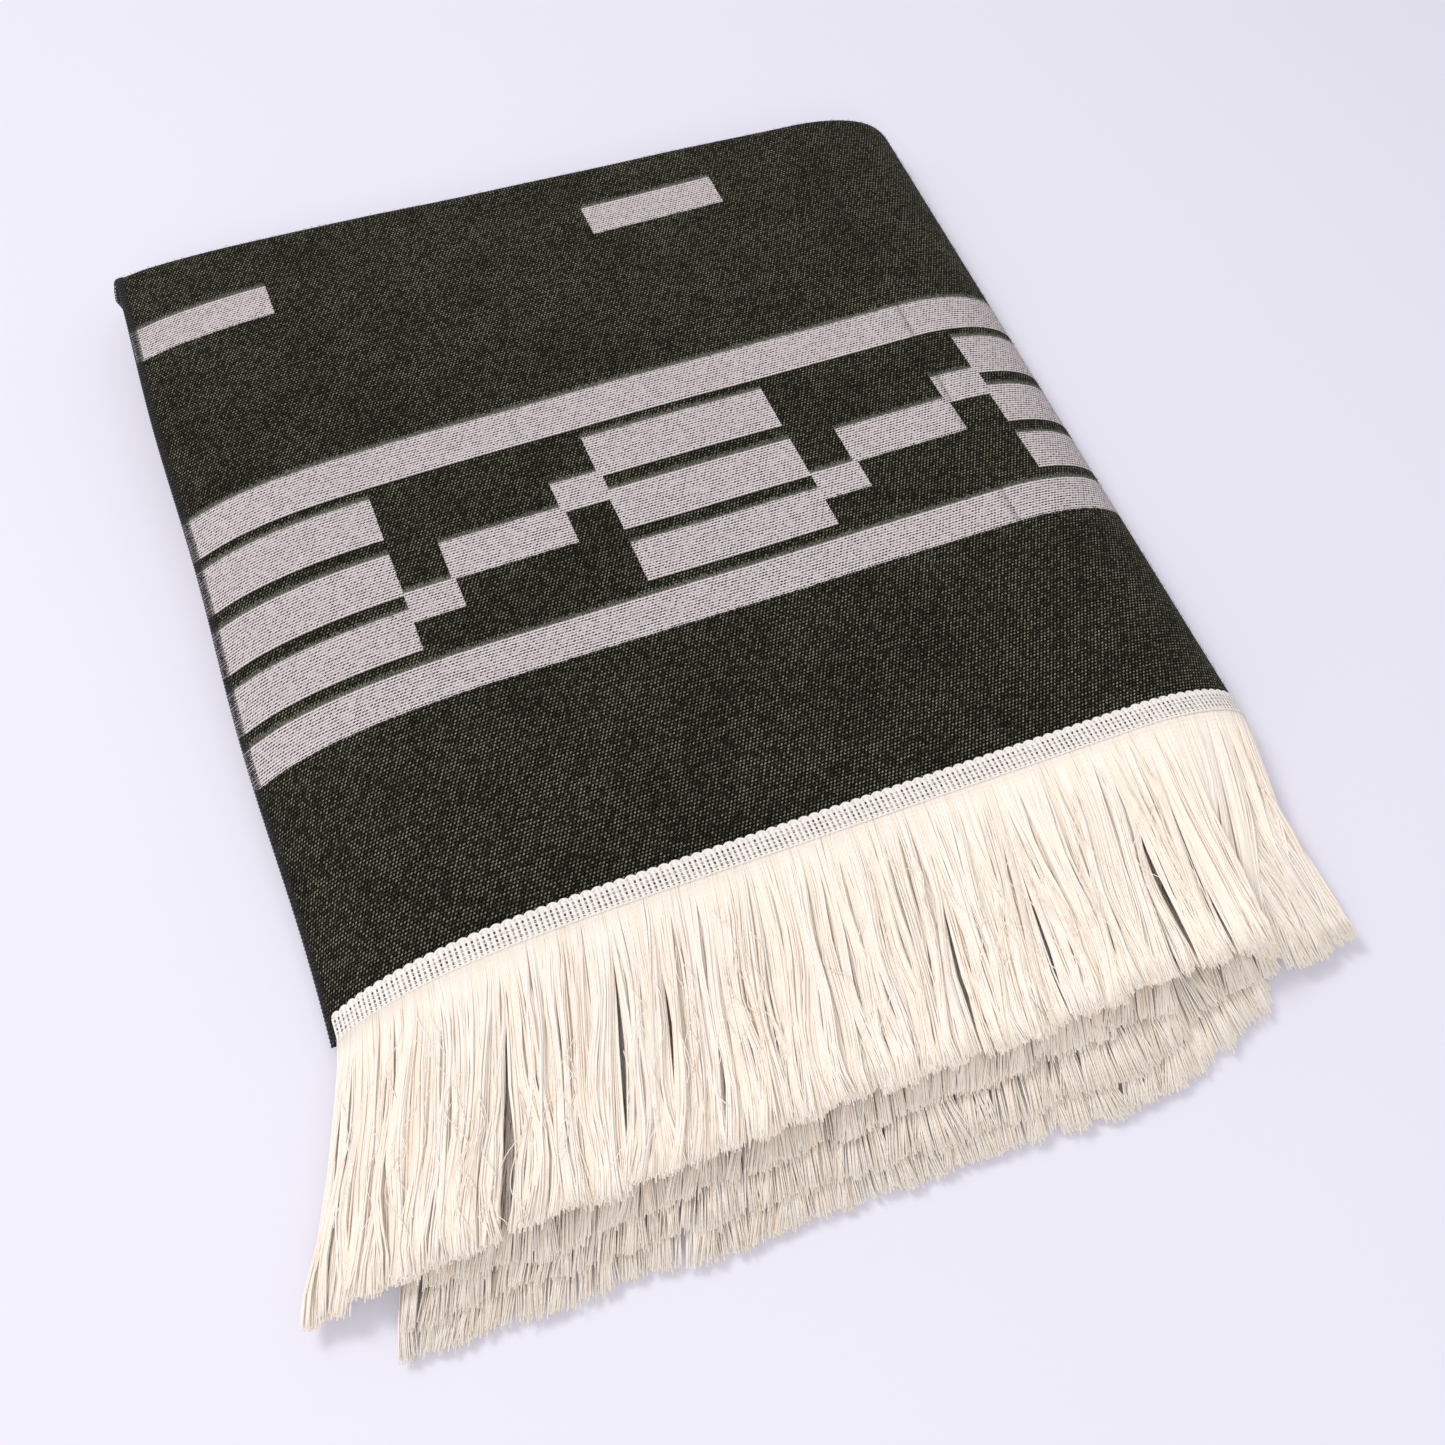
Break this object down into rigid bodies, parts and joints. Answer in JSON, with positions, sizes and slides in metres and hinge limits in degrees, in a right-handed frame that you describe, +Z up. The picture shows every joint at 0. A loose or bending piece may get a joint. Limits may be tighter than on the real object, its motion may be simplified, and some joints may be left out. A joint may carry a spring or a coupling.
{
  "type": "folded throw blanket",
  "caption": "Folded woven throw with a stepped stripe pattern, overlocked side hems and a long cut fringe on a woven tape; its upper leaf unfolds over the side fold.",
  "frame": {"origin": "on the resting surface, under the middle of the folded stack", "axes": "+Z up, fringe towards -Y, last fold towards +X, open side hems towards -X"},
  "size_m": [0.7791, 0.9528, 0.06],
  "materials": {
    "cloth": "brushed woven cloth, dark olive with a taupe stepped pattern",
    "overlock": "black overlock thread",
    "tape": "cream woven tape with a picot edge",
    "sewing": "cream sewing thread",
    "fringe": "cream twisted cotton yarn"
  },
  "bodies": {
    "lower_leaf": {"third_panel": "cloth", "base_panel": "cloth", "far_fold_lower": "cloth", "far_corner_lower": "cloth", "side_wrap_lower": "cloth", "inner_fold_lower": "cloth", "hem_third": "overlock", "hem_base": "overlock", "tape_third": "tape", "tape_base": "tape", "tape_wrap_lower": "tape", "sewing_third": "sewing", "sewing_base": "sewing", "fringe_third": "fringe", "fringe_base": "fringe"},
    "upper_leaf": {"top_panel": "cloth", "second_panel": "cloth", "far_fold_upper": "cloth", "far_corner_upper": "cloth", "side_wrap_upper": "cloth", "inner_fold_upper": "cloth", "hem_top": "overlock", "hem_second": "overlock", "tape_top": "tape", "tape_wrap_upper": "tape", "tape_second": "tape", "sewing_top": "sewing", "sewing_second": "sewing", "fringe_top": "fringe", "fringe_second": "fringe"}
  },
  "joints": [
    {"name": "unfold", "type": "hinge", "parent": "lower_leaf", "child": "upper_leaf", "pos_m": [0.3375, 0, 0.03], "axis": [0.0632, 0.998, 0], "range_deg": [0, 180]}
  ]
}
